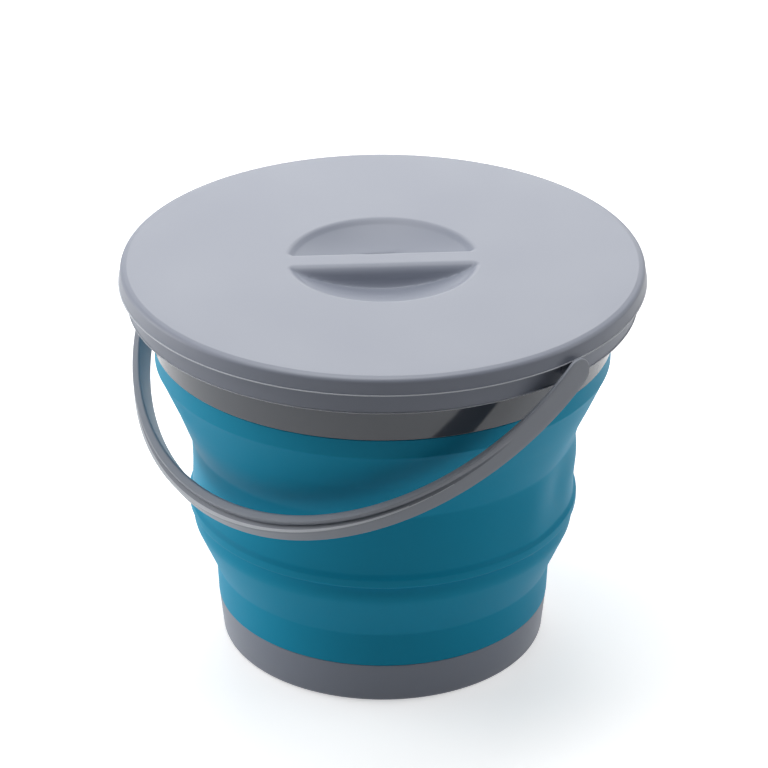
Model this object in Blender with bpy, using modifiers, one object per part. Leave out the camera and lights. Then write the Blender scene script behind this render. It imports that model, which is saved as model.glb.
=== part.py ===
"""Collapsible camp bucket with a lid and a bail handle, in metres with +Z up.

The bucket stands at the origin with its axis on Z, and the handle swings about a line along X.
The base, rim, lid and handle are stiff mouldings. The soft folding wall is one moulding too. It is
modelled as nested rings, one for each stretch that moves by itself as the bucket folds down.
"""

import math

import bmesh
import bpy
from mathutils import Vector

# General values
gap = 0.0003  # between pieces that touch
overrun = 0.004  # how far a cutter passes the surface it cuts
segments = 60  # facets round the bucket
pin_segments = 16  # facets round a stud or a hole
fillet_steps = 2  # facets in a rounding, but one in that of a thin edge
edge_round = 0.0005  # rounding of the thin edges
merge_distance = 0.00001
flat_angle = 0.001  # faces that meet at less than this become one
smooth_angle = math.radians(35)  # sharper edges than this stay crisp
half_facet = math.pi / segments

# Base cup
base_height = 0.028  # grey part that shows below the soft wall
base_top_radius = 0.1023
base_taper = 0.004  # how much narrower the cup is at its foot
base_wall = 0.0022
base_heel_round = 0.0035
foot_width = 0.0045
foot_height = 0.0016
base_collar_height = 0.016  # stands up inside the lower band, which is bonded round it

# Soft wall
wall = 0.0015
lap = 0.002  # how far neighbouring rings pass each other
lower_band_height = 0.0223
lower_band_taper = 0.001
lower_web_rise = 0.0397  # height between the lower and the middle band
lower_web_spread = 0.0137  # how much wider the middle band is than the lower one
lower_web_shoulder = 0.009  # upright stretch of the lower web under the middle band
middle_band_height = 0.048
middle_band_flare = 0.0003  # the band is this much wider above its bead
bead_width = 0.0045
bead_height = 0.0019  # how far the bead stands out from the band
bead_lead = 0.0025  # height of the slope on each side of the bead
upper_web_rise = 0.0495  # height between the middle and the upper band
inner_web_spread = 0.0093  # how much wider the web is at its split than the middle band
outer_web_spread = 0.0115  # and how much wider the upper band is than that
upper_band_height = 0.0135

# Rim
rim_height = 0.0482
rim_wall = 0.002
rim_lean = 0.0026  # how far the inner wall leans out from bottom to top
channel_width = 0.0093  # between the inner wall and the collar, at the top
collar_height = 0.0233  # from the collar's lower edge to the top of the rim
collar_wall = 0.0022
collar_bead = 0.0029  # how far the bead stands out from the collar
collar_bead_height = 0.003
collar_bead_drop = 0.0035  # from the top of the rim down to the bead

# Lid
lid_wall = 0.0022
lid_draft = 0.0008  # how much narrower the skirt is at its top
lid_edge_round = 0.004
skirt_height = 0.0122
lid_fit = 0.0005  # between the lid and the rim, all round
plug_height = 0.006
plug_wall = 0.0018

# Grip in the lid: a round bowl with a bar left standing across it
bowl_radius = 0.0595
bowl_depth = 0.024
bar_width = 0.0195
bowl_corner_round = 0.008
bowl_steps = 5  # facets from the bowl's edge to its middle
corner_steps = 4
bar_turn = math.radians(50)  # direction of the bar from +X

# Handle
arm_clearance = 0.0077  # between the collar and each arm
reach_excess = 0.0041  # how much further the grip reaches than the arms stand out
arm_width = 0.0184  # across the round end of each arm
grip_width = 0.0145
arm_thickness = 0.0024
grip_thickness = 0.0105
handle_hang = math.radians(36.5)  # how far the handle hangs below the level
handle_edge_round = 0.0008
handle_edge_angle = math.radians(50)  # sharper edges than this are rounded
handle_edge_steps = 2
upper_flange_depth = 0.006
upper_flange_thickness = 0.0027
groove_width = 0.0017
groove_depth = 0.0025  # below the edge of the upper flange
groove_fade = 0.001  # how far the groove's line passes the arms, where it runs out
arch_steps = 40
groove_steps = 39
end_steps = 12  # facets round the end of an arm

# Hinge of the handle
hinge_drop = 0.016  # from the top of the rim down to the hinge line
shoulder_radius = 0.0045
neck_radius = 0.0033
head_radius = 0.0044
head_tip_radius = 0.003
head_length = 0.0026
boss_radius = 0.006
boss_length = 0.002  # inside the collar
hinge_clearance = 0.0003

# Levels from the floor up, each from the one below it
base_top = base_height
lower_band_bottom = base_top + gap
lower_band_top = base_top + lower_band_height
middle_band_bottom = lower_band_top + lower_web_rise
middle_band_top = middle_band_bottom + middle_band_height
upper_web_split = middle_band_top + upper_web_rise / 2
upper_band_bottom = middle_band_top + upper_web_rise
upper_band_top = upper_band_bottom + upper_band_height
rim_bottom = upper_band_top + gap
rim_top = rim_bottom + rim_height
lid_under = rim_top + gap
lid_top = lid_under + lid_wall
hinge_level = rim_top - hinge_drop
collar_bottom = rim_top - collar_height

# Radii of the base and the nested rings, each ring clear of the next by the gap
base_bottom_radius = base_top_radius - base_taper
base_collar_radius = base_top_radius - wall - gap
lower_band_top_radius = base_top_radius + lower_band_taper
middle_band_radius = lower_band_top_radius + lower_web_spread
upper_web_split_radius = middle_band_radius + inner_web_spread
upper_band_radius = upper_web_split_radius + outer_web_spread
lower_web_bottom_radius = lower_band_top_radius + gap + wall
middle_band_inner_radius = middle_band_radius - wall
lower_web_top_radius = middle_band_inner_radius - gap
middle_band_foot_radius = middle_band_radius + middle_band_flare
inner_web_bottom_radius = middle_band_foot_radius + gap + wall
inner_web_top_radius = upper_web_split_radius
outer_web_bottom_radius = inner_web_top_radius + gap + wall
outer_web_top_radius = upper_band_radius - wall - gap
rim_inner_bottom_radius = upper_band_radius - wall + gap
rim_inner_top_radius = rim_inner_bottom_radius + rim_lean

# Radii of the collar, the lid and the handle, each from the one inside it
collar_inner_radius = rim_inner_top_radius + rim_wall + channel_width
collar_radius = collar_inner_radius + collar_wall
bead_radius = collar_radius + collar_bead
skirt_inner_radius = bead_radius + lid_fit
lid_radius = skirt_inner_radius + lid_wall
plug_radius = rim_inner_top_radius - lid_fit
handle_half_width = collar_radius + arm_clearance  # inside, from the bucket's axis
handle_reach = handle_half_width + reach_excess  # inside, from the hinge line

grey = (0.245, 0.27, 0.325)
teal = (0.016, 0.19, 0.29)


def clear_scene():
    for item in list(bpy.data.objects):
        bpy.data.objects.remove(item, do_unlink=True)


def new_collection(name):
    collection = bpy.data.collections.new(name)
    bpy.context.scene.collection.children.link(collection)
    return collection


def moulded(name, colour, roughness):
    """A moulded plastic: one colour, no metal."""
    material = bpy.data.materials.new(name)
    material.use_nodes = True
    shader = material.node_tree.nodes["Principled BSDF"]
    shader.inputs["Base Color"].default_value = (*colour, 1)
    shader.inputs["Roughness"].default_value = roughness
    shader.inputs["Metallic"].default_value = 0
    return material


def add_part(name, mesh, material):
    part = bpy.data.objects.new(name, mesh)
    parts.objects.link(part)
    mesh.materials.append(material)
    return part


def add_cutter(name, mesh):
    """A shape that only cuts or joins, and isn't built by itself."""
    cutter = bpy.data.objects.new(name, mesh)
    cutters.objects.link(cutter)
    cutter.hide_render = True
    cutter.display_type = "WIRE"
    return cutter


def filleted(corners):
    """Points of an outline from (across, up, fillet) corners, each fillet as a short arc."""
    points = []
    for index, (across, up, fillet) in enumerate(corners):
        here = Vector((across, up))
        if not fillet:
            points.append((across, up))
            continue
        back = (Vector(corners[index - 1][:2]) - here).normalized()
        ahead = (Vector(corners[(index + 1) % len(corners)][:2]) - here).normalized()
        half = back.angle(ahead) / 2
        centre = here + (back + ahead).normalized() * fillet / math.sin(half)
        first = here + back * fillet / math.tan(half) - centre
        last = here + ahead * fillet / math.tan(half) - centre
        steps = fillet_steps if fillet > edge_round else 1
        for step in range(steps + 1):
            share = step / steps
            spoke = (first * (1 - share) + last * share).normalized() * fillet
            points.append(tuple(centre + spoke))
    return points


def profile_mesh(name, points, closed):
    """The half section of a turned piece, in the XZ plane on the +X side."""
    mesh = bpy.data.meshes.new(name)
    count = len(points)
    edges = [(i, i + 1) for i in range(count - 1)]
    if closed:
        edges.append((count - 1, 0))
    mesh.from_pydata([(across, 0, up) for across, up in points], edges, [])
    return mesh


def add_screw(item, steps):
    screw = item.modifiers.new("turn", "SCREW")
    screw.axis = "Z"
    screw.angle = math.tau
    screw.steps = steps
    screw.render_steps = steps
    screw.use_merge_vertices = True
    screw.merge_threshold = merge_distance
    screw.use_smooth_shade = True


def turned_ring(name, corners, material):
    """A ring: its section runs down the outside and back up the inside."""
    ring = add_part(name, profile_mesh(name, filleted(corners), True), material)
    add_screw(ring, segments)
    return ring


def boolean(item, operation, other):
    cut = item.modifiers.new(other.name, "BOOLEAN")
    cut.operation = operation
    cut.object = other
    cut.solver = "EXACT"


def prism(name, outline, thickness):
    """A mesh plate of a flat outline in XY, centred on Z = 0."""
    curve = bpy.data.curves.new(name, "CURVE")
    curve.dimensions = "2D"
    curve.fill_mode = "BOTH"
    curve.extrude = thickness / 2
    spline = curve.splines.new("POLY")
    spline.points.add(len(outline) - 1)
    for point, (across, along) in zip(spline.points, outline):
        point.co = (across, along, 0, 1)
    spline.use_cyclic_u = True
    drawn = bpy.data.objects.new(name, curve)
    cutters.objects.link(drawn)
    evaluated = drawn.evaluated_get(bpy.context.evaluated_depsgraph_get())
    mesh = bpy.data.meshes.new_from_object(evaluated)
    bpy.data.objects.remove(drawn, do_unlink=True)
    shape = bmesh.new()
    shape.from_mesh(mesh)
    bmesh.ops.remove_doubles(shape, verts=shape.verts, dist=merge_distance)
    bmesh.ops.dissolve_limit(shape, angle_limit=flat_angle, verts=shape.verts, edges=shape.edges)
    bmesh.ops.recalc_face_normals(shape, faces=shape.faces)
    shape.to_mesh(mesh)
    shape.free()
    mesh.name = name
    return mesh


def cylinder_mesh(name, radius, length):
    mesh = bpy.data.meshes.new(name)
    shape = bmesh.new()
    bmesh.ops.create_cone(
        shape,
        cap_ends=True,
        segments=pin_segments,
        radius1=radius,
        radius2=radius,
        depth=length,
    )
    shape.to_mesh(mesh)
    shape.free()
    return mesh


def build_base(material):
    """Stiff cup with a foot ring below and a collar that the soft wall is bonded round."""
    collar_top = base_top + base_collar_height
    inner_top = base_collar_radius - base_wall
    inner_bottom = base_bottom_radius - base_wall
    foot_outer = base_bottom_radius - base_heel_round
    floor_level = foot_height + base_wall
    corners = [
        (0, floor_level, 0),
        (inner_bottom, floor_level, base_wall),
        (inner_top, collar_top, edge_round),
        (base_collar_radius, collar_top, edge_round),
        (base_collar_radius, base_top, 0),
        (base_top_radius, base_top, edge_round),
        (base_bottom_radius, base_heel_round, base_heel_round / 2),
        (foot_outer, 0, edge_round),
        (foot_outer - foot_width, 0, edge_round),
        (foot_outer - foot_width - foot_height, foot_height, 0),
        (0, foot_height, 0),
    ]
    base = add_part("base", profile_mesh("base", filleted(corners), False), material)
    add_screw(base, segments)


def build_lower_band(material):
    """Upright soft band round the base's collar."""
    inner = base_collar_radius + gap
    turned_ring(
        "wall_lower_band",
        [
            (lower_band_top_radius, lower_band_top, edge_round),
            (base_top_radius, lower_band_bottom, 0),
            (inner, lower_band_bottom, 0),
            (lower_band_top_radius - wall, lower_band_top, 0),
        ],
        material,
    )


def web_ring(name, bottom, top, bottom_radius, top_radius, material, shoulder=None):
    """Sloping soft ring, given by its outer radii, and upright above its shoulder if it has one."""
    outside = [(top_radius, top, 0), (bottom_radius, bottom, edge_round)]
    inside = [(bottom_radius - wall, bottom, 0), (top_radius - wall, top, 0)]
    if shoulder:
        outside.insert(1, (top_radius, shoulder, 0))
        inside.insert(1, (top_radius - wall, shoulder, 0))
    turned_ring(name, outside + inside, material)


def build_webs(material):
    web_ring(
        "wall_lower_web",
        lower_band_top - lap,
        middle_band_bottom + lap,
        lower_web_bottom_radius,
        lower_web_top_radius,
        material,
        middle_band_bottom - lower_web_shoulder,
    )
    web_ring(
        "wall_upper_web_inner",
        middle_band_top - lap,
        upper_web_split + lap / 2,
        inner_web_bottom_radius,
        inner_web_top_radius,
        material,
    )
    web_ring(
        "wall_upper_web_outer",
        upper_web_split - lap / 2,
        upper_band_bottom + lap,
        outer_web_bottom_radius,
        outer_web_top_radius,
        material,
    )


def build_middle_band(material):
    """Upright soft band with a thick bead round its foot."""
    bead_bottom = middle_band_bottom + bead_lead
    bead_top = bead_bottom + bead_width
    ridge_radius = middle_band_foot_radius + bead_height
    turned_ring(
        "wall_middle_band",
        [
            (middle_band_radius, middle_band_top, edge_round),
            (middle_band_foot_radius, bead_top + bead_lead, 0),
            (ridge_radius, bead_top, edge_round),
            (ridge_radius, bead_bottom, edge_round),
            (middle_band_foot_radius, middle_band_bottom, edge_round),
            (middle_band_inner_radius, middle_band_bottom, 0),
            (middle_band_inner_radius, middle_band_top, 0),
        ],
        material,
    )


def build_upper_band(material):
    """Upright soft band that hangs under the rim."""
    turned_ring(
        "wall_upper_band",
        [
            (upper_band_radius, upper_band_top, 0),
            (upper_band_radius, upper_band_bottom, edge_round),
            (upper_band_radius - wall, upper_band_bottom, 0),
            (upper_band_radius - wall, upper_band_top, 0),
        ],
        material,
    )


def along_x(item, distance, level):
    """Lay a shape that was made along Z out along X, at a place on the hinge line."""
    item.rotation_euler = (0, math.pi / 2, 0)
    item.location = (distance, 0, level)


def build_rim(material):
    """Hooked rim: an inner wall, a crest that the lid sits on, and a collar outside."""
    crest_under = rim_top - collar_wall
    bead_level = rim_top - collar_bead_drop
    corners = [
        (bead_radius, rim_top, collar_wall),
        (bead_radius, bead_level, 0),
        (collar_radius, bead_level - collar_bead_height, 0),
        (collar_radius, collar_bottom, edge_round),
        (collar_inner_radius, collar_bottom, edge_round),
        (collar_inner_radius, crest_under, collar_wall),
        (rim_inner_top_radius + rim_wall, crest_under, collar_wall),
        (rim_inner_bottom_radius + rim_wall, rim_bottom, 0),
        (rim_inner_bottom_radius, rim_bottom, 0),
        (rim_inner_top_radius, rim_top, rim_wall),
    ]
    rim = turned_ring("rim", corners, material)
    boss_end = collar_inner_radius - boss_length
    hole_radius = neck_radius + hinge_clearance
    bosses = []
    holes = []
    for side, word in ((1, "right"), (-1, "left")):
        length = collar_radius - collar_wall / 2 - boss_end
        boss = add_cutter(f"boss_{word}", cylinder_mesh("boss", boss_radius, length))
        along_x(boss, side * (boss_end + length / 2), hinge_level)
        bosses.append(boss)
        reach = collar_radius - boss_end + overrun
        hole = add_cutter(f"hinge_hole_{word}", cylinder_mesh("hole", hole_radius, reach))
        along_x(hole, side * (boss_end + collar_radius) / 2, hinge_level)
        holes.append(hole)
    for boss in bosses:
        boolean(rim, "UNION", boss)
    for hole in holes:
        boolean(rim, "DIFFERENCE", hole)


def bowl_arc(radius, centre_level, edge_level):
    """Points down a sphere's lower side, from its edge at a level to its lowest point."""
    widest = math.acos((centre_level - edge_level) / radius)
    points = []
    for step in range(bowl_steps + 1):
        angle = widest * (1 - step / bowl_steps)
        points.append((radius * math.sin(angle), centre_level - radius * math.cos(angle)))
    return points


def half_bowl_outline():
    """One side of the bowl seen from above: a D with rounded corners, beyond the bar."""
    flat = bar_width / 2
    radius = bowl_radius + gap
    corner = bowl_corner_round
    centre_along = flat + corner
    centre_across = math.sqrt((radius - corner) ** 2 - centre_along**2)
    swing = math.atan2(centre_along, centre_across)
    arc_steps = segments // 2
    points = []
    for step in range(arc_steps + 1):
        angle = swing + (math.pi - 2 * swing) * step / arc_steps
        points.append((radius * math.cos(angle), radius * math.sin(angle)))
    for step in range(1, corner_steps + 1):
        angle = math.pi - swing + (math.pi / 2 + swing) * step / corner_steps
        across = corner * math.cos(angle) - centre_across
        points.append((across, centre_along + corner * math.sin(angle)))
    for step in range(corner_steps):
        angle = -math.pi / 2 + (math.pi / 2 + swing) * step / corner_steps
        across = corner * math.cos(angle) + centre_across
        points.append((across, centre_along + corner * math.sin(angle)))
    return points


def build_lid(material):
    """Lid with a skirt, a ring that plugs the rim, and a grip sunk in its middle."""
    sphere = (bowl_radius**2 + bowl_depth**2) / (2 * bowl_depth)
    centre_level = lid_top - bowl_depth + sphere
    skirt_bottom = lid_top - skirt_height
    corners = [
        (0, lid_top, 0),
        (lid_radius - lid_draft, lid_top, lid_edge_round),
        (lid_radius, skirt_bottom, edge_round),
        (skirt_inner_radius, skirt_bottom, edge_round),
        (skirt_inner_radius, lid_under, lid_wall / 2),
        (plug_radius, lid_under, 0),
        (plug_radius, lid_under - plug_height, edge_round),
        (plug_radius - plug_wall, lid_under - plug_height, edge_round),
        (plug_radius - plug_wall, lid_under, 0),
    ]
    points = filleted(corners) + bowl_arc(sphere + lid_wall, centre_level, lid_under)
    lid = add_part("lid", profile_mesh("lid", points, False), material)
    add_screw(lid, segments)
    lid.rotation_euler.z = bar_turn

    cap_top = lid_top + overrun
    cap = bowl_arc(sphere, centre_level, cap_top)
    bowl = add_cutter("bowl", profile_mesh("bowl", [(0, cap_top), *cap], False))
    add_screw(bowl, segments)
    bowl.rotation_euler.z = half_facet

    half_height = bowl_depth + overrun
    for side, word in ((1, "back"), (-1, "front")):
        outline = [(across * side, along * side) for across, along in half_bowl_outline()]
        pocket = add_cutter(f"pocket_{word}", prism("pocket", outline, 2 * half_height))
        pocket.location.z = lid_top
        boolean(pocket, "INTERSECT", bowl)
        pocket.parent = lid
        boolean(lid, "DIFFERENCE", pocket)
    bowl.parent = lid

    half_slot = bar_width / 2 - lid_wall
    bar_reach = bowl_radius - bowl_corner_round - lid_wall
    slot_outline = [
        (bar_reach, half_slot),
        (-bar_reach, half_slot),
        (-bar_reach, -half_slot),
        (bar_reach, -half_slot),
    ]
    slot = add_cutter("bar_hollow", prism("bar_hollow", slot_outline, 2 * half_height))
    slot.location.z = lid_under - half_height
    slot.parent = lid
    boolean(lid, "DIFFERENCE", slot)


def half_ellipse(across, along, steps):
    """Points of half an ellipse on the -Y side, from +X round to -X."""
    points = []
    for step in range(steps + 1):
        angle = math.pi * step / steps
        points.append((across * math.cos(angle), -along * math.sin(angle)))
    return points


def arch_outline(inner, outer, steps, tail=0):
    """Outline between two half ellipses, each given as (half width, reach), with straight tails."""
    outside = half_ellipse(*outer, steps)
    inside = half_ellipse(*inner, steps)[::-1]
    if tail:
        outside = [(outer[0], tail), *outside, (-outer[0], tail)]
        inside = [(-inner[0], tail), *inside, (inner[0], tail)]
    return outside + inside


def strap_outline():
    """Side of the handle, which tapers from the arms' round ends on the hinge line to the grip."""
    radius = arm_width / 2
    far = handle_reach + grip_thickness + overrun
    slope = math.asin((radius - grip_width / 2) / far)
    points = []
    for step in range(end_steps + 1):
        angle = slope + (math.pi - 2 * slope) * step / end_steps
        points.append((radius * math.sin(angle), radius * math.cos(angle)))
    return points + [(-far, -grip_width / 2), (-far, grip_width / 2)]


def groove_cutter(name, depth, low, high, pivot):
    """Cutter that runs along the outside of the grip and fades out towards the arms."""
    inner = (handle_half_width + arm_thickness + groove_fade, handle_reach + depth)
    outer = (inner[0] + grip_thickness, handle_reach + grip_thickness + overrun)
    mesh = prism(name, arch_outline(inner, outer, groove_steps), high - low)
    cutter = add_cutter(name, mesh)
    cutter.location.z = (low + high) / 2
    cutter.parent = pivot
    return cutter


def stud_mesh():
    """Turned stud on the inside of an arm: a shoulder, a neck and a snap head, along Z."""
    root = handle_half_width + arm_thickness / 2
    shoulder_end = collar_radius + gap
    neck_end = collar_inner_radius - boss_length - gap
    points = [
        (0, root),
        (shoulder_radius, root),
        (shoulder_radius, shoulder_end),
        (neck_radius, shoulder_end),
        (neck_radius, neck_end),
        (head_radius, neck_end),
        (head_tip_radius, neck_end - head_length),
        (0, neck_end - head_length),
    ]
    return profile_mesh("stud", points, False)


def build_handle(material):
    """Bail handle: an arched strap with a groove along its grip, and a stud at each end."""
    pivot = bpy.data.objects.new("handle_pivot", None)
    parts.objects.link(pivot)
    pivot.location.z = hinge_level
    pivot.rotation_euler.x = handle_hang

    inner = (handle_half_width, handle_reach)
    outer = (handle_half_width + arm_thickness, handle_reach + grip_thickness)
    outline = arch_outline(inner, outer, arch_steps, arm_width)
    handle = add_part("handle", prism("handle", outline, arm_width + overrun), material)
    handle.parent = pivot
    across = 2 * (handle_half_width + arm_thickness + overrun)
    side = add_cutter("strap_side", prism("strap_side", strap_outline(), across))
    side.rotation_euler = (math.pi / 2, 0, math.pi / 2)
    side.parent = pivot
    boolean(handle, "INTERSECT", side)
    rounding = handle.modifiers.new("rounding", "BEVEL")
    rounding.width = handle_edge_round
    rounding.segments = handle_edge_steps
    rounding.limit_method = "ANGLE"
    rounding.angle_limit = handle_edge_angle

    groove_top = grip_width / 2 - upper_flange_thickness
    groove_bottom = groove_top - groove_width
    step_bottom = groove_top - groove_width / 2
    step = groove_cutter("flange_step", upper_flange_depth, step_bottom, arm_width, pivot)
    groove = groove_cutter(
        "groove", upper_flange_depth - groove_depth, groove_bottom, groove_top, pivot
    )
    boolean(handle, "DIFFERENCE", step)
    boolean(handle, "DIFFERENCE", groove)
    for side, word in ((1, "right"), (-1, "left")):
        stud = add_cutter(f"stud_{word}", stud_mesh())
        add_screw(stud, pin_segments)
        stud.rotation_euler.y = side * math.pi / 2
        stud.parent = pivot
        boolean(handle, "UNION", stud)


def shade_parts():
    """Smooth the round faces and keep the real edges sharp."""
    bpy.context.view_layer.update()
    depsgraph = bpy.context.evaluated_depsgraph_get()
    finished = {}
    for part in parts.objects:
        if part.type == "MESH":
            finished[part] = bpy.data.meshes.new_from_object(part.evaluated_get(depsgraph))
    for part, mesh in finished.items():
        part.modifiers.clear()
        mesh.shade_smooth()
        mesh.set_sharp_from_angle(angle=smooth_angle)
        part.data = mesh


clear_scene()
parts = new_collection("camp_bucket")
cutters = new_collection("cutters")

build_base(moulded("base_polypropylene", grey, 0.5))
soft = moulded("wall_thermoplastic_rubber", teal, 0.55)
build_lower_band(soft)
build_webs(soft)
build_middle_band(soft)
build_upper_band(soft)
build_rim(moulded("rim_polypropylene", grey, 0.35))
build_lid(moulded("lid_polypropylene", grey, 0.45))
build_handle(moulded("handle_polypropylene", grey, 0.4))
shade_parts()
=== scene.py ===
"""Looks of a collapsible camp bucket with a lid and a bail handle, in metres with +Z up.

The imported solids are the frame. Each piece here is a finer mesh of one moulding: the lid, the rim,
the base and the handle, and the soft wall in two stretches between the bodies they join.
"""

import math

import bmesh
import bpy
from mathutils import Matrix, Vector


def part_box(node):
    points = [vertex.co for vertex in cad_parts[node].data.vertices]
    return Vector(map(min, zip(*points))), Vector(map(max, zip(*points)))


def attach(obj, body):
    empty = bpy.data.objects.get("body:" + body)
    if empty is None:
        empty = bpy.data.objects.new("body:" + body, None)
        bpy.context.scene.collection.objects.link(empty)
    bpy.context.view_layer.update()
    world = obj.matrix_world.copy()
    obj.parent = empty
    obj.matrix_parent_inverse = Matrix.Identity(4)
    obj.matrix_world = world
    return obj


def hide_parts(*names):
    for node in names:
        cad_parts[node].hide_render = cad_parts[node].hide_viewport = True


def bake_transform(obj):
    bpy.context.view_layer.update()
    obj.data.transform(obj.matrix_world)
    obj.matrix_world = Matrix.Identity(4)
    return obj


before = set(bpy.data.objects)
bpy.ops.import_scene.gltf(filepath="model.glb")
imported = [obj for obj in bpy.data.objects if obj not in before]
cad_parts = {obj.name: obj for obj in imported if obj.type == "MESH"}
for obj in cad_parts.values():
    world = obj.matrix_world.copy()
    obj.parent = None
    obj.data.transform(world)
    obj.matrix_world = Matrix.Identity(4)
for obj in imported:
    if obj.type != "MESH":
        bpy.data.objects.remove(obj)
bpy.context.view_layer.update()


def reach_of(node):
    """Radius of a turned node, which lies on the bucket's axis."""
    low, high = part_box(node)
    return (high.y - low.y) / 2


# Fineness of the meshes
around = 240  # facets round the bucket
arc_steps = 6  # facets in a rounding
stud_facets = 40
wall_facet = 0.003  # about the longest facet up the soft wall
on_axis = 0.0001  # a ring narrower than this is a single vertex
weld = 0.00001  # vertices nearer than this become one
crease = math.radians(40)  # a sharper edge than this isn't smoothed over

# Levels and radii that the frame gives
foot_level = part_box("base")[0].z
base_collar_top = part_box("base")[1].z
base_radius = reach_of("base")
lower_band_bottom, lower_band_top = (corner.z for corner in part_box("wall_lower_band"))
lower_band_radius = reach_of("wall_lower_band")
middle_band_bottom, middle_band_top = (corner.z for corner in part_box("wall_middle_band"))
bead_radius = reach_of("wall_middle_band")
upper_band_bottom, upper_band_top = (corner.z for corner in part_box("wall_upper_band"))
upper_band_radius = reach_of("wall_upper_band")
sunk = 0.0017  # the photographed lid lies this much lower than its solid
rim_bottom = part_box("rim")[0].z
rim_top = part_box("rim")[1].z - sunk
rim_bead_radius = reach_of("rim")
lid_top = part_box("lid")[1].z - sunk
lid_radius = reach_of("lid")
arm_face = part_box("handle")[1].x

# Edges and seams of all the mouldings
thin_round = 0.0005  # rounding of a thin edge
seam = 0.0003  # between the base and the soft wall
lip_crest_share = 0.8  # of a lip's height, up to which it stands out in full
lip_round_share = 1 / 3  # of how far it stands out

# Base cup
base_top = lower_band_bottom - seam
base_taper = 0.0028  # the cup narrows this much down to its heel
base_wall = 0.0022
heel_round = 0.0035
heel_lift = 0.0009  # of the heel above the ground, outside the foot ring
heel_flat = 0.0005  # from the heel's rounding in to the foot ring
foot_width = 0.0045
foot_height = 0.0016

# Soft wall
wall = 0.0015
lower_edge_inset = 0.001  # the lowest edge is drawn in this much
band_inset = 0.0022  # from the bead's crest in to the middle band
bead_low = 0.0018  # from the foot of the middle band up to the bead
bead_width = 0.0052
bead_fade = 0.0025  # from the top of the bead up to the plain band
groove_depth = 0.0008
groove_shoulder = 0.003  # from the groove down to where the wall turns in to it
shoulder_inset = 0.0006  # from the middle band in to that turn
web_shoulder = 0.0088  # from the groove down to the bulge of the lower web
web_bulge = 0.0002  # stands out this much from the middle band, as the wall over the bead does
web_sag = 0.0011  # the upper web is drawn in this much at its middle
web_lift = 0.0015  # the fold over the upper web takes this much of the web and of its band
band = bead_radius - band_inset
groove = band - groove_depth
groove_level = middle_band_bottom + bead_low / 2

# Roundings up the soft wall
lower_band_round = 0.006
web_bulge_round = 0.014
groove_shoulder_round = 0.002
bead_under_round = 0.0014
bead_over_round = 0.0016
bead_fade_round = 0.003
middle_band_round = 0.009
upper_web_round = 0.04
upper_fold_round = 0.004
upper_band_round = 0.003

# Soft dents of the wall: direction in degrees, level, half width in degrees, half height and depth.
# Where the depth is negative the wall swells.
dents = (
    (22, 0.122, 8, 0.016, 0.0024),
    (6, 0.112, 7, 0.018, -0.0012),
    (40, 0.128, 8, 0.014, -0.0017),
    (30, 0.150, 10, 0.010, 0.0012),
    (-128, 0.118, 12, 0.016, 0.0008),
    (150, 0.116, 11, 0.018, 0.0012),
)

# Rim
rim_wall = 0.002
rim_lean = 0.0026  # from the foot of the rim's inner wall out to its top
rim_inner_inset = 0.0012  # from the upper band in to the foot of the rim's inner wall
rim_bead = 0.0029  # the bead under the lid's skirt stands out this much from the collar
rim_bead_face = 0.0035  # height of the bead's upright face
rim_bead_slope = 0.003  # height of the slope under it
collar_wall = 0.0022
collar_height = 0.0216
collar_lip = 0.0005  # the lower edge stands out this much
collar_radius = rim_bead_radius - rim_bead
collar_inner = collar_radius - collar_wall
boss_radius = 0.006
boss_length = 0.002

# Lid
lid_wall = 0.0022
lid_draft = 0.0008  # the skirt widens this much down to its lip
lid_edge_round = 0.0028
lid_slope_width = 0.0048  # the plate slopes down to its edge over this width
lid_slope_drop = 0.0011
skirt_height = 0.0105
skirt_lip = 0.0006  # the lower edge stands out this much
plug_fit = 0.0005  # between the lid's plug and the rim
plug_height = 0.006
plug_wall = 0.0018
plate_radius = 0.125  # out to here the lid is meshed round its grip, and turned beyond
plate_margin = 0.012  # from the lid's edge in to the last ring that is quite flat

# Grip sunk in the lid: a bowl, part of a sphere, with a bar left standing across it
bowl_radius = 0.0593
bowl_depth = 0.0138
bowl_edge_round = 0.0016
bar_width = 0.0105  # of the flat between its rounded edges
bar_edge_round = 0.0065
bar_slope = math.radians(76)  # of the bar's sides
bar_turn = math.radians(50)  # of the bar, from the X axis
bowl_corner = 0.006  # rounding, seen from above, between the bowl's edge and the bar
valley_share = 0.5  # of the depth, over which the bar's side and the bowl run into each other
bowl_sphere = (bowl_radius**2 + bowl_depth**2) / (2 * bowl_depth)
bowl_edge_slope = math.asin(bowl_radius / bowl_sphere)
edge_start = bowl_edge_round * math.tan(bowl_edge_slope / 2)  # from the bowl out to the flat

# Mesh of the grip: rings in each half of the bowl, close together at the edge and wider apart below
ring_outside = 0.002  # the first ring lies this far outside the edge
close_step = 0.0003
close_rings = 0.004  # in to about here
wide_step = 0.0007
wide_rings = 0.0236  # in to about here
least_corner = 0.0015  # rounding of the innermost rings
bowl_facets = 96
corner_facets = 16
bar_facets = 60

# Handle
hinge_drop = 0.0143  # from the top of the rim
arm_width = 0.0184
grip_width = 0.0145
arm_thickness = 0.0024
grip_thickness = 0.0105
half_width = arm_face - arm_thickness  # inside, from the bucket's axis
bail_stretch = 0.0038  # the arch reaches this much further than a half circle
reach = half_width + bail_stretch
taper_overrun = 0.004  # past the grip, where the strap's taper would end
taper_reach = reach + grip_thickness + taper_overrun
hang = math.radians(36.5)  # below the level, at rest
arm_edge_round = 0.0009
palm_round = 0.0018  # the grip's inner top edge, where it lies in the hand
bail_stations = 180  # steps from one arm round to the other
end_steps = 24  # facets round the end of an arm

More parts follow.
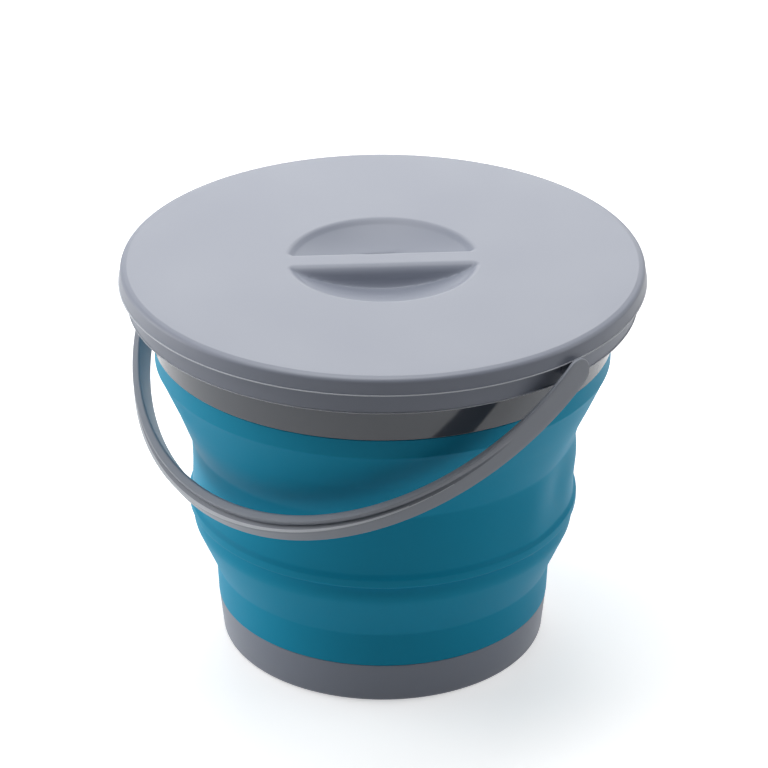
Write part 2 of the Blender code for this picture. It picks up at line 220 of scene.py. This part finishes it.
# Groove along the grip
flange_depth = 0.006  # outward, of the flange above the groove
flange_thickness = 0.0027
stepped_flange = 0.0034  # thicker from the step on, which the mould leaves
step_turn = math.radians(70)  # round the bail to the step, from the arm on the X side
groove_root = 0.0018  # thickness left behind the groove
groove_lip = 0.0028  # level of the groove's lower edge above the middle of the strap
groove_fade = 0.001  # the groove begins about where the strap is this much thicker than its arms
# The groove's lip is drawn in the pale plastic, a painted highlight, along these stations and faces.
highlight_start = 28  # station after which the groove's lip turns pale
highlight_faces = 3  # of the section, along the lip
highlight_growth = 5  # stations in which the pale lip grows a face wider

# The groove's line from its lip up to the edge of the flange above it: each point has its share
# of the way up, of the groove's depth and of the step back to the flange.
groove_shares = (
    (-0.30, 0.00, 0),
    (-0.10, 0.02, 0),
    (0.00, 0.08, 0),
    (0.10, 0.22, 0),
    (0.30, 0.50, 0),
    (0.50, 0.74, 0),
    (0.70, 0.90, 0),
    (0.84, 0.98, 0),
    (0.94, 1.00, 0),
    (1.02, 0.20, 0.8),
    (1.12, 0.03, 0.97),
    (1.25, 0.00, 1),
)

# Studs on the handle's arms
stud_gap = 0.0003  # between a stud and the rim
shoulder_radius = 0.0045
neck_radius = 0.0033
head_radius = 0.0044
head_tip_radius = 0.003
head_length = 0.0026

# Camera, fitted to the ellipses of the lid, collar and base
camera_distance = 2.2
camera_azimuth = math.radians(46.5)
camera_elevation = math.radians(27.45)
aim_level = 0.1658
focal_length = 169.55  # in millimetres
frame_width = 36.0  # in millimetres
shift_right = 0.0017  # as a share of the frame

# Room: the floor's shade and glow are given as they light the bucket, and as they are seen
lamp_distance = 2.0
floor_half = 1.1
floor_shade = (0.45, 0.9)
floor_glow = (0.14, 0.55)
floor_roughness = 0.9

# Lamps: name, azimuth counted from the camera's to the right, elevation, size and power
lamps = (
    ("overhead", 180, 78, 1.0, 15),
    ("left_high", -90, 62, 1.4, 11),
    ("front_left_high", -55, 65, 1.4, 5),
    ("back", 180, 32, 1.4, 14),
    ("side_right", 90, 28, 1.4, 9.5),
    ("low_left", -100, 8, 1.4, 19),
)

# Moulded surfaces
plastic_ior = 1.49
drifts_per_metre = 14  # the tint and the gloss drift over about 70 mm
drift_low, drift_high = 0.3, 0.7  # nearly all of the drifting noise lies between these
gloss_drift = 0.03  # how far the roughness drifts either way
mix_first, mix_second, mix_result = 6, 7, 2  # a Mix node's sockets for colours


def linear(code):
    """An sRGB hex colour as linear red, green, blue and alpha."""
    values = [int(code[i : i + 2], 16) / 255 for i in (0, 2, 4)]
    return (*(v / 12.92 if v <= 0.04045 else ((v + 0.055) / 1.055) ** 2.4 for v in values), 1)


def add(tree, kind, fields):
    """Add a node. A field that holds a socket is linked, and any other is a value or a setting."""
    node = tree.nodes.new(f"ShaderNode{kind}")
    for name, value in fields.items():
        if isinstance(value, bpy.types.NodeSocket):
            tree.links.new(value, node.inputs[name])
        elif isinstance(name, int) or name in node.inputs:
            node.inputs[name].default_value = value
        else:
            setattr(node, name, value)
    return node


def moulded(name, tints, roughness, grain, grain_height, specular):
    """A moulded surface: two near tints drift over it, and a fine grain breaks up its gloss."""
    material = bpy.data.materials.new(name)
    material.use_nodes = True
    tree = material.node_tree
    shader = tree.nodes["Principled BSDF"]
    place = add(tree, "TexCoord", {}).outputs["Object"]
    drift = add(tree, "TexNoise", {"Vector": place, "Scale": drifts_per_metre, "Detail": 2})
    tint = add(
        tree,
        "Mix",
        {
            "data_type": "RGBA",
            "Factor": drift.outputs["Fac"],
            mix_first: linear(tints[0]),
            mix_second: linear(tints[1]),
        },
    )
    speck = add(tree, "TexNoise", {"Vector": place, "Scale": 1 / grain, "Detail": 3})
    gloss = add(
        tree,
        "MapRange",
        {
            "Value": drift.outputs["Fac"],
            "From Min": drift_low,
            "From Max": drift_high,
            "To Min": roughness - gloss_drift,
            "To Max": roughness + gloss_drift,
        },
    )
    bump = add(
        tree,
        "Bump",
        {"Height": speck.outputs["Fac"], "Strength": 1, "Distance": grain_height},
    )
    tree.links.new(tint.outputs[mix_result], shader.inputs["Base Color"])
    tree.links.new(gloss.outputs[0], shader.inputs["Roughness"])
    tree.links.new(bump.outputs[0], shader.inputs["Normal"])
    shader.inputs["IOR"].default_value = plastic_ior
    shader.inputs["Specular IOR Level"].default_value = specular
    return material


# Polypropylene from a finely etched mould: matt, with a soft wide highlight. The usual grain of such
# a mould, about 0.2 mm, is too fine to show, and is drawn three times as coarse.
polypropylene_etched = moulded(
    "polypropylene_etched",
    tints=("878d9b", "8c919f"),
    roughness=0.42,
    grain=0.0006,
    grain_height=0.00001,
    specular=0.5,
)
# Polypropylene from a polished mould: the rim's inner wall mirrors the room, in faint waves. Its
# tint is darker than the rim's etched plastic, as painted shade under the collar.
polypropylene_polished_painted_shade = moulded(
    "polypropylene_polished_painted_shade",
    tints=("5a606b", "5e646d"),
    roughness=0.13,
    grain=0.0012,
    grain_height=0.000003,
    specular=0.6,
)
# Polypropylene from a smooth mould: the handle is more glossy than the lid.
polypropylene_smooth = moulded(
    "polypropylene_smooth",
    tints=("8a8f9a", "8f949e"),
    roughness=0.38,
    grain=0.0008,
    grain_height=0.000006,
    specular=0.5,
)
# A pale tint of polypropylene, as a painted highlight: the fine bright lines along the lips of the
# skirt, the collar and the handle's groove.
polypropylene_painted_highlight = moulded(
    "polypropylene_painted_highlight",
    tints=("c8ccd4", "d0d4da"),
    roughness=0.35,
    grain=0.0006,
    grain_height=0.000006,
    specular=0.5,
)
# Thermoplastic rubber, moulded: satin, with no sharp highlight. Its fine grain is drawn coarser too.
rubber_moulded = moulded(
    "thermoplastic_rubber_moulded",
    tints=("1ea2c8", "1aa5cc"),
    roughness=0.5,
    grain=0.0009,
    grain_height=0.000012,
    specular=0.12,
)


def arc(across, up, radius, start, sweep, steps):
    """Points about a centre, from a start angle through a sweep, with both ends."""
    points = []
    for step in range(steps + 1):
        angle = start + sweep * step / steps
        points.append((across + radius * math.cos(angle), up + radius * math.sin(angle)))
    return points


def rounded(corners):
    """Outline points from (radius, level, rounding) corners, each rounding as an arc."""
    points = []
    for index, (across, up, rounding) in enumerate(corners):
        here = Vector((across, up))
        if not rounding:
            points.append((across, up))
            continue
        back = (Vector(corners[index - 1][:2]) - here).normalized()
        ahead = (Vector(corners[(index + 1) % len(corners)][:2]) - here).normalized()
        half = back.angle(ahead) / 2
        centre = here + (back + ahead).normalized() * rounding / math.sin(half)
        first = here + back * rounding / math.tan(half) - centre
        last = here + ahead * rounding / math.tan(half) - centre
        for step in range(arc_steps + 1):
            share = step / arc_steps
            spoke = (first * (1 - share) + last * share).normalized() * rounding
            points.append(tuple(centre + spoke))
    return points


def ring_of(shape, radius, level, facets):
    """Vertices of one ring about the axis, or the same single vertex where it lies on the axis."""
    if radius < on_axis:
        return [shape.verts.new((0, 0, level))] * facets
    angles = [math.tau * step / facets for step in range(facets)]
    return [shape.verts.new((radius * math.cos(a), radius * math.sin(a), level)) for a in angles]


def skin(shape, rings, closed=False):
    """Faces between each ring of vertices and the next, which all have as many vertices."""
    pairs = list(zip(rings, rings[1:]))
    if closed:
        pairs.append((rings[-1], rings[0]))
    for low, high in pairs:
        for i in range(len(low)):
            j = (i + 1) % len(low)
            corners = dict.fromkeys((low[i], low[j], high[j], high[i]))
            if len(corners) > 2:
                shape.faces.new(corners)


def turn(shape, outline, closed, facets=around):
    """Turn a half section about the axis, and return its rings."""
    rings = [ring_of(shape, radius, level, facets) for radius, level in outline]
    skin(shape, rings, closed)
    return rings


def piece(name, shape, body, nodes, slot, *materials):
    """Make an object of a finished mesh, which stands for its nodes and moves with its body."""
    bmesh.ops.recalc_face_normals(shape, faces=shape.faces)
    mesh = bpy.data.meshes.new(name)
    shape.to_mesh(mesh)
    shape.free()
    mesh.shade_smooth()
    mesh.set_sharp_from_angle(angle=crease)
    made = bpy.data.objects.new(name, mesh)
    bpy.context.scene.collection.objects.link(made)
    for material in materials:
        mesh.materials.append(material)
    if body:
        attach(made, body)
    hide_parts(*nodes)
    return made


def lip_corners(side, bottom, lip):
    """Corners of the fine lip that stands out at the lower edge of an upright side."""
    return [
        (side, bottom + lip, 0),
        (side + lip, bottom + lip_crest_share * lip, lip_round_share * lip),
        (side + lip, bottom, lip_round_share * lip),
    ]


def is_on_lip(face, side, bottom, lip):
    """Whether a face of the mesh belongs to such a lip."""
    centre = face.calc_center_median()
    return centre.xy.length > side and centre.z < bottom + lip


def make_base():
    """Stiff cup with a rounded heel and a foot ring, and a collar that the soft wall goes round."""
    heel_radius = base_radius - base_taper
    foot_outer = heel_radius - heel_round - heel_flat
    foot_inner = foot_outer - foot_width
    collar = base_radius - wall - seam
    floor = foot_height + base_wall
    shape = bmesh.new()
    outline = rounded(
        [
            (0, floor, 0),
            (heel_radius - base_wall, floor, base_wall),
            (collar - base_wall, base_collar_top, thin_round),
            (collar, base_collar_top, thin_round),
            (collar, base_top, 0),
            (base_radius, base_top, thin_round),
            (heel_radius, heel_lift, heel_round),
            (foot_outer, heel_lift, 0),
            (foot_outer, foot_level, 0),
            (foot_inner, foot_level, thin_round),
            (foot_inner - foot_height, foot_height, thin_round),
            (0, foot_height, 0),
        ]
    )
    turn(shape, outline, closed=False)
    piece("base_cup", shape, "base", ["base"], "base_plastic", polypropylene_etched)


def make_rim():
    """Hooked rim with a glossy inner wall, a bead under the lid's skirt and a collar outside."""
    inner_foot = upper_band_radius - rim_inner_inset
    inner_top = inner_foot + rim_lean
    collar_bottom = rim_top - collar_height
    hook_under = rim_top - collar_wall
    bead_level = rim_top - rim_bead_face
    shape = bmesh.new()
    outline = rounded(
        [
            (rim_bead_radius, rim_top, collar_wall),
            (rim_bead_radius, bead_level, thin_round),
            (collar_radius, bead_level - rim_bead_slope, thin_round),
            *lip_corners(collar_radius, collar_bottom, collar_lip),
            (collar_inner, collar_bottom, thin_round),
            (collar_inner, hook_under, collar_wall),
            (inner_top + rim_wall, hook_under, collar_wall),
            (inner_foot + rim_wall, rim_bottom, thin_round),
            (inner_foot, rim_bottom, thin_round),
            (inner_top, rim_top, rim_wall),
        ]
    )
    turn(shape, outline, closed=True)
    # The inner wall's darker plastic is painted shade under the collar, and the lip's pale plastic a
    # painted highlight.
    inner_wall, lip = 1, 2  # places of their plastics in the list below
    for face in shape.faces:
        if is_on_lip(face, collar_radius, collar_bottom, collar_lip):
            face.material_index = lip
        elif face.calc_center_median().xy.length < collar_inner - boss_length:
            face.material_index = inner_wall
    add_bosses(shape)
    piece(
        "rim_moulding",
        shape,
        "rim",
        ["rim"],
        "rim_plastic",
        polypropylene_etched,
        polypropylene_polished_painted_shade,
        polypropylene_painted_highlight,
    )


def add_bosses(shape):
    """The round bosses behind the collar, which the handle's studs go through."""
    middle = collar_inner - boss_length / 2 + collar_wall / 4
    for side in (1, -1):
        place = Matrix.Translation((side * middle, 0, rim_top - hinge_drop))
        bmesh.ops.create_cone(
            shape,
            cap_ends=True,
            segments=stud_facets,
            radius1=boss_radius,
            radius2=boss_radius,
            depth=boss_length + collar_wall / 2,
            matrix=place @ Matrix.Rotation(math.pi / 2, 4, "Y"),
        )


def shell_section(outer):
    """A closed section: the outer line, and the same line moved in by the wall's thickness."""
    points = [Vector(point) for point in outer]
    inner = []
    for index, point in enumerate(points):
        before = points[max(index - 1, 0)]
        after = points[min(index + 1, len(points) - 1)]
        along = (after - before).normalized()
        inner.append(point + Vector((-along.y, along.x)) * wall)
    return [tuple(p) for p in points + inner[::-1]]


def dent_at(place):
    """How far the soft wall is pressed in at a place."""
    bearing = math.degrees(math.atan2(place.y, place.x))
    depth = 0
    for direction, level, half_turn, half_height, amount in dents:
        turn_off = (bearing - direction + 180) % 360 - 180
        depth += amount * math.exp(
            -((turn_off / half_turn) ** 2) - ((place.z - level) / half_height) ** 2
        )
    return depth


def press(shape):
    """Give the soft wall its dents."""
    for vertex in shape.verts:
        outward = Vector((vertex.co.x, vertex.co.y, 0)).normalized()
        vertex.co -= outward * dent_at(vertex.co)


def divided(points):
    """The same outline, with its long stretches divided so that the wall can bend."""
    line = [points[0]]
    for before, after in zip(points, points[1:]):
        steps = max(1, round(math.dist(before, after) / wall_facet))
        for step in range(1, steps + 1):
            share = step / steps
            line.append(tuple(b + (a - b) * share for b, a in zip(before, after)))
    return line


def soft_stretch(name, corners, nodes):
    """A stretch of the soft wall, turned from the corners of its outer side."""
    shape = bmesh.new()
    turn(shape, shell_section(divided(rounded(corners))), closed=True)
    press(shape)
    return piece(name, shape, None, nodes, "soft_wall", rubber_moulded)


def make_lower_wall():
    """The soft wall from the base up to the groove under the bead."""
    lower = soft_stretch(
        "soft_wall_lower",
        [
            (lower_band_radius - lower_edge_inset, lower_band_bottom, 0),
            (lower_band_radius, lower_band_top, lower_band_round),
            (band + web_bulge, groove_level - web_shoulder, web_bulge_round),
            (band - shoulder_inset, groove_level - groove_shoulder, groove_shoulder_round),
            (groove, groove_level, 0),
        ],
        ["wall_lower_band", "wall_lower_web"],
    )
    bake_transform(lower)


def make_upper_wall():
    """The soft wall from that groove up over the bead to the rim."""
    bead_bottom = middle_band_bottom + bead_low
    bead_top = bead_bottom + bead_width
    web_level = (middle_band_top + upper_band_bottom) / 2
    web_radius = (band + upper_band_radius) / 2 - web_sag
    fold_radius = upper_band_radius - web_lift
    upper = soft_stretch(
        "soft_wall_upper",
        [
            (groove, groove_level, 0),
            (bead_radius, bead_bottom, bead_under_round),
            (bead_radius, bead_top, bead_over_round),
            (band + web_bulge, bead_top + bead_fade, bead_fade_round),
            (band, middle_band_top, middle_band_round),
            (web_radius, web_level, upper_web_round),
            (fold_radius, upper_band_bottom - web_lift, upper_fold_round),
            (upper_band_radius, upper_band_bottom + web_lift, upper_band_round),
            (upper_band_radius, upper_band_top - thin_round, 0),
            (upper_band_radius - thin_round, upper_band_top, 0),
        ],
        ["wall_middle_band", "wall_upper_web_inner", "wall_upper_web_outer", "wall_upper_band"],
    )
    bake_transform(upper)


def soft_edge(distance, rounding, slope):
    """Depth of a face that turns down from the level in an arc, and goes on at a slope."""
    if distance <= 0:
        return 0
    turned_in = rounding * math.sin(slope)
    if distance < turned_in:
        return rounding - math.sqrt(rounding**2 - distance**2)
    return rounding * (1 - math.cos(slope)) + (distance - turned_in) * math.tan(slope)


def bowl_at(from_axis):
    """Depth of the bowl at a distance from the bucket's axis."""
    in_from_edge = bowl_radius - from_axis
    if in_from_edge < bowl_edge_round * math.sin(bowl_edge_slope) - edge_start:
        return soft_edge(in_from_edge + edge_start, bowl_edge_round, bowl_edge_slope)
    return math.sqrt(bowl_sphere**2 - from_axis**2) - (bowl_sphere - bowl_depth)


def grip_depth(across, along):
    """Depth of the sunk grip at a place beyond the bar, whose side is where along is zero."""
    from_axis = math.hypot(across, along + bar_width / 2)
    bowl = bowl_at(from_axis)
    inward = min(along, bowl_radius - from_axis + edge_start)
    corner_across = math.sqrt(
        (bowl_radius + edge_start - bowl_corner) ** 2 - (bar_width / 2 + bowl_corner) ** 2
    )
    if along < bowl_corner and abs(across) > corner_across:
        inward = bowl_corner - math.hypot(abs(across) - corner_across, along - bowl_corner)
    side = soft_edge(inward, bar_edge_round, bar_slope)
    least = min(side, bowl)
    valley = valley_share * least
    if valley <= 0:
        return 0
    # The lesser depth of the two, smoothed by a parabola where they are nearly the same
    share = max(valley - abs(side - bowl), 0) / valley
    return least - share * share * valley / 4


def half_bowl(offset):
    """Outline of one half of the bowl, moved in by an offset: an arc, two corners and the bar."""
    radius = bowl_radius + edge_start - offset
    corner = max(bowl_corner - offset, least_corner)
    centre_along = bar_width / 2 + offset + corner
    centre_across = math.sqrt((radius - corner) ** 2 - centre_along**2)
    swing = math.atan2(centre_along, centre_across)
    corner_sweep = math.pi / 2 + swing
    points = arc(0, 0, radius, swing, math.pi - 2 * swing, bowl_facets)[:-1]
    points += arc(
        -centre_across, centre_along, corner, math.pi - swing, corner_sweep, corner_facets
    )[:-1]
    for step in range(bar_facets):
        points.append((centre_across * (2 * step / bar_facets - 1), centre_along - corner))
    points += arc(
        centre_across, centre_along, corner, -math.pi / 2, corner_sweep, corner_facets
    )[:-1]
    return points


def sink_half_grip(shape, side):
    """Mesh one half of the grip, and return the ring of vertices round it."""
    offsets = [-ring_outside, 0]
    while offsets[-1] < close_rings:
        offsets.append(offsets[-1] + close_step)
    while offsets[-1] < wide_rings:
        offsets.append(offsets[-1] + wide_step)
    rings = []
    for offset in offsets:
        ring = []
        for across, along in half_bowl(offset):
            depth = grip_depth(across, along - bar_width / 2)
            place = Vector((across * side, along * side, lid_top - depth))
            place.rotate(Matrix.Rotation(bar_turn, 3, "Z"))
            ring.append(shape.verts.new(place))
        rings.append(ring)
    skin(shape, rings)
    shape.faces.new(rings[-1])
    return rings[0]


def fill_plate(shape, holes):
    """Fill the flat plate round the rings that border the grip, out to where it is turned."""
    borders = [ring_of(shape, plate_radius, lid_top, around), *holes]
    for ring in borders:
        for i in range(len(ring)):
            if not shape.edges.get((ring[i - 1], ring[i])):
                shape.edges.new((ring[i - 1], ring[i]))
    on_border = {vertex for ring in borders for vertex in ring}
    edges = [
        edge
        for edge in shape.edges
        if edge.verts[0] in on_border and edge.verts[1] in on_border and len(edge.link_faces) < 2
    ]
    bmesh.ops.triangle_fill(shape, use_beauty=True, edges=edges, normal=(0, 0, 1))


def thicken(shape, thickness):
    """Give a sheet that faces up an underside, a thickness below it along its normals."""
    for face in shape.faces:
        face.normal_update()
        if face.normal.z < 0:
            face.normal_flip()
    for vertex in shape.verts:
        vertex.normal_update()
    under = {}
    for vertex in shape.verts[:]:
        under[vertex] = shape.verts.new(vertex.co - vertex.normal * thickness)
    for face in shape.faces[:]:
        shape.faces.new([under[vertex] for vertex in reversed(face.verts)])


def make_lid():
    """Lid: a plate with the grip sunk in it, a rounded edge, a skirt, and a plug for the rim."""
    shape = bmesh.new()
    fill_plate(shape, [sink_half_grip(shape, side) for side in (1, -1)])
    thicken(shape, lid_wall)

    lid_under = lid_top - lid_wall
    skirt_inner = lid_radius - lid_wall
    skirt_face = lid_radius - skirt_lip
    skirt_bottom = lid_top - skirt_height
    plug = upper_band_radius - rim_inner_inset + rim_lean - plug_fit
    outline = rounded(
        [
            (plate_radius, lid_top, 0),
            (lid_radius - plate_margin, lid_top, 0),
            (skirt_face - lid_slope_width, lid_top, lid_slope_width / 2),
            (skirt_face - lid_draft, lid_top - lid_slope_drop, lid_edge_round),
            *lip_corners(skirt_face, skirt_bottom, skirt_lip),
            (skirt_inner, skirt_bottom, thin_round),
            (skirt_inner, lid_under, lid_wall / 2),
            (plug, lid_under, thin_round),
            (plug, lid_under - plug_height, thin_round),
            (plug - plug_wall, lid_under - plug_height, thin_round),
            (plug - plug_wall, lid_under, thin_round),
            (plate_radius, lid_under, 0),
        ]
    )
    turn(shape, outline, closed=False)
    bmesh.ops.remove_doubles(shape, verts=shape.verts, dist=weld)
    # The skirt's lip takes the pale plastic, a painted highlight.
    for face in shape.faces:
        face.material_index = int(is_on_lip(face, skirt_face, skirt_bottom, skirt_lip))
    piece(
        "lid_moulding",
        shape,
        "lid",
        ["lid"],
        "lid_plastic",
        polypropylene_etched,
        polypropylene_painted_highlight,
    )


def edge_arc(across, up, radius, quarter):
    """The rounding of an edge of the handle: a quarter circle, given by its number from 0 to 3."""
    return arc(across, up, radius, math.pi / 2 * quarter, math.pi / 2, arc_steps)


def bail_section(turned_by, half):
    """The handle's section as (outward, up) points: from inside round below, then back above.

    Both halves have as many points, so that a round end can join them.
    """
    grown = math.sin(turned_by) ** 2
    thick = arm_thickness + (grip_thickness - arm_thickness) * grown
    cut = arm_thickness + groove_fade
    flange = min(thick, cut + (flange_depth - cut) * grown)
    root = min(flange, cut + (groove_root - cut) * grown)
    edge = arm_edge_round
    palm = edge + (palm_round - edge) * grown
    flange_now = flange_thickness if turned_by < step_turn else stepped_flange
    rise = grip_width / 2 - flange_now - groove_lip
    levels = [groove_lip + rise * up for up, _, _ in groove_shares]
    section = [(0, 0)]
    section += edge_arc(edge, edge - half, edge, 2)
    section += edge_arc(thick - edge, edge - half, edge, 3)
    section += [(thick, -level) for level in reversed(levels)]
    section.append((thick, 0))
    for level, (_, deep, stepped) in zip(levels, groove_shares):
        section.append((thick * (1 - deep - stepped) + root * deep + flange * stepped, level))
    section += edge_arc(flange - edge, half - edge, edge, 0)
    section += edge_arc(palm, half - palm, palm, 1)
    return section


def sweep_strap(shape):
    """The arched strap, level and hinged on the X axis. Returns its sections' vertices."""
    rings = []
    for station in range(bail_stations + 1):
        turned_by = math.pi * station / bail_stations
        inner = Vector((half_width * math.cos(turned_by), -reach * math.sin(turned_by), 0))
        outward = Vector((reach * math.cos(turned_by), -half_width * math.sin(turned_by), 0))
        outward.normalize()
        half = (arm_width + (grip_width - arm_width) * -inner.y / taper_reach) / 2
        rings.append(
            [
                shape.verts.new(inner + outward * out + Vector((0, 0, up)))
                for out, up in bail_section(turned_by, half)
            ]
        )
    skin(shape, rings)
    return rings


def paint_groove_lip_highlight(shape, section_size):
    """Give the faces along the lip of the groove the second material, a pale painted highlight."""
    middle = section_size // 2
    for number, face in enumerate(shape.faces):
        station, place = divmod(number, section_size)
        into_grip = min(station, bail_stations - 1 - station) - highlight_start
        width = min(highlight_faces, into_grip // highlight_growth)
        face.material_index = int(middle < place <= middle + width)


def round_end(shape, ring):
    """Close an end of the strap with a half circle, from its section's upper half to the lower."""
    middle = len(ring) // 2
    arcs = [ring[middle:] + ring[:1]]
    for step in range(1, end_steps):
        angle = math.pi * step / end_steps
        between = [
            shape.verts.new((v.co.x, v.co.z * math.sin(angle), v.co.z * math.cos(angle)))
            for v in ring[middle + 1 :]
        ]
        arcs.append([ring[middle], *between, ring[0]])
    arcs.append([ring[middle], *reversed(ring[1:middle]), ring[0]])
    skin(shape, arcs)


def add_stud(shape, side):
    """A stud along the X axis: its shoulder outside the collar, its neck and its snap head."""
    root = half_width + arm_thickness / 2
    neck_start = collar_radius + stud_gap
    neck_end = collar_inner - boss_length - stud_gap
    outline = [
        (0, root),
        (shoulder_radius, root),
        (shoulder_radius, neck_start),
        (neck_radius, neck_start),
        (neck_radius, neck_end),
        (head_radius, neck_end),
        (head_tip_radius, neck_end - head_length),
        (0, neck_end - head_length),
    ]
    rings = turn(shape, outline, closed=False, facets=stud_facets)
    for vertex in {vertex for ring in rings for vertex in ring}:
        vertex.co.rotate(Matrix.Rotation(side * math.pi / 2, 3, "Y"))


def make_handle():
    """Bail handle: an arched strap with a grooved grip, and a round end and a stud on each arm."""
    shape = bmesh.new()
    rings = sweep_strap(shape)
    paint_groove_lip_highlight(shape, len(rings[0]))
    for ring in (rings[0], rings[-1]):
        round_end(shape, ring)
    for side in (1, -1):
        add_stud(shape, side)
    place = Matrix.Translation((0, 0, rim_top - hinge_drop)) @ Matrix.Rotation(hang, 4, "X")
    bmesh.ops.transform(shape, matrix=place, verts=shape.verts)
    piece(
        "bail_handle",
        shape,
        "handle",
        ["handle"],
        "handle_plastic",
        polypropylene_smooth,
        polypropylene_painted_highlight,
    )


def put_facing(name, data, bearing, rise, distance):
    """Make an object of a lamp or a camera, which faces the bucket from a bearing and a rise."""
    holder = bpy.data.objects.new(name, data)
    bpy.context.scene.collection.objects.link(holder)
    back = Vector(
        (
            math.sin(bearing) * math.cos(rise),
            -math.cos(bearing) * math.cos(rise),
            math.sin(rise),
        )
    )
    holder.location = Vector((0, 0, aim_level)) + back * distance
    holder.rotation_euler = back.to_track_quat("Z", "Y").to_euler()
    return holder


def light(name, azimuth, elevation, size, power):
    """A soft square lamp."""
    lamp = bpy.data.lights.new(name, "AREA")
    lamp.shape = "SQUARE"
    lamp.size = size
    lamp.energy = power
    bearing = camera_azimuth + math.radians(azimuth)
    put_facing(name, lamp, bearing, math.radians(elevation), lamp_distance)


def seen_directly(tree):
    """1 for what is seen, straight, in a gloss or through glass, and 0 for what only lights."""
    path = add(tree, "LightPath", {})
    seen = path.outputs["Is Camera Ray"]
    for ray in ("Is Glossy Ray", "Is Transmission Ray"):
        either = add(tree, "Math", {"operation": "MAXIMUM", 0: seen, 1: path.outputs[ray]})
        seen = either.outputs[0]
    return seen


def surround_with_white():
    """White background, which is seen, also in a gloss, but doesn't light the bucket."""
    world = bpy.data.worlds.new("pale_room")
    bpy.context.scene.world = world
    world.use_nodes = True
    tree = world.node_tree
    background = tree.nodes["Background"]
    background.inputs["Color"].default_value = (1, 1, 1, 1)
    tree.links.new(seen_directly(tree), background.inputs["Strength"])


def lay_the_floor():
    """White floor, which is seen brighter than it lights the bucket, and keeps its shadow."""
    mesh = bpy.data.meshes.new("floor")
    half = floor_half
    mesh.from_pydata(
        [(-half, -half, 0), (half, -half, 0), (half, half, 0), (-half, half, 0)],
        [],
        [(0, 1, 2, 3)],
    )
    floor = bpy.data.objects.new("floor", mesh)
    bpy.context.scene.collection.objects.link(floor)
    material = bpy.data.materials.new("white_paper_sweep")
    material.use_nodes = True
    tree = material.node_tree
    shader = tree.nodes["Principled BSDF"]
    seen = seen_directly(tree)
    for socket, (lighting, looked_at) in (
        ("Base Color", floor_shade),
        ("Emission Strength", floor_glow),
    ):
        level = add(tree, "MapRange", {"Value": seen, "To Min": lighting, "To Max": looked_at})
        tree.links.new(level.outputs[0], shader.inputs[socket])
    shader.inputs["Roughness"].default_value = floor_roughness
    shader.inputs["Emission Color"].default_value = (1, 1, 1, 1)
    mesh.materials.append(material)


def set_the_camera():
    """Camera at the photograph's view."""
    data = bpy.data.cameras.new("camera")
    data.sensor_width = frame_width
    data.lens = focal_length
    data.shift_x = shift_right
    bpy.context.scene.camera = put_facing(
        "camera", data, camera_azimuth, camera_elevation, camera_distance
    )


make_base()
make_rim()
make_lower_wall()
make_upper_wall()
make_lid()
make_handle()

surround_with_white()
lay_the_floor()
for lamp in lamps:
    light(*lamp)
set_the_camera()
bpy.context.scene.view_settings.view_transform = "Standard"
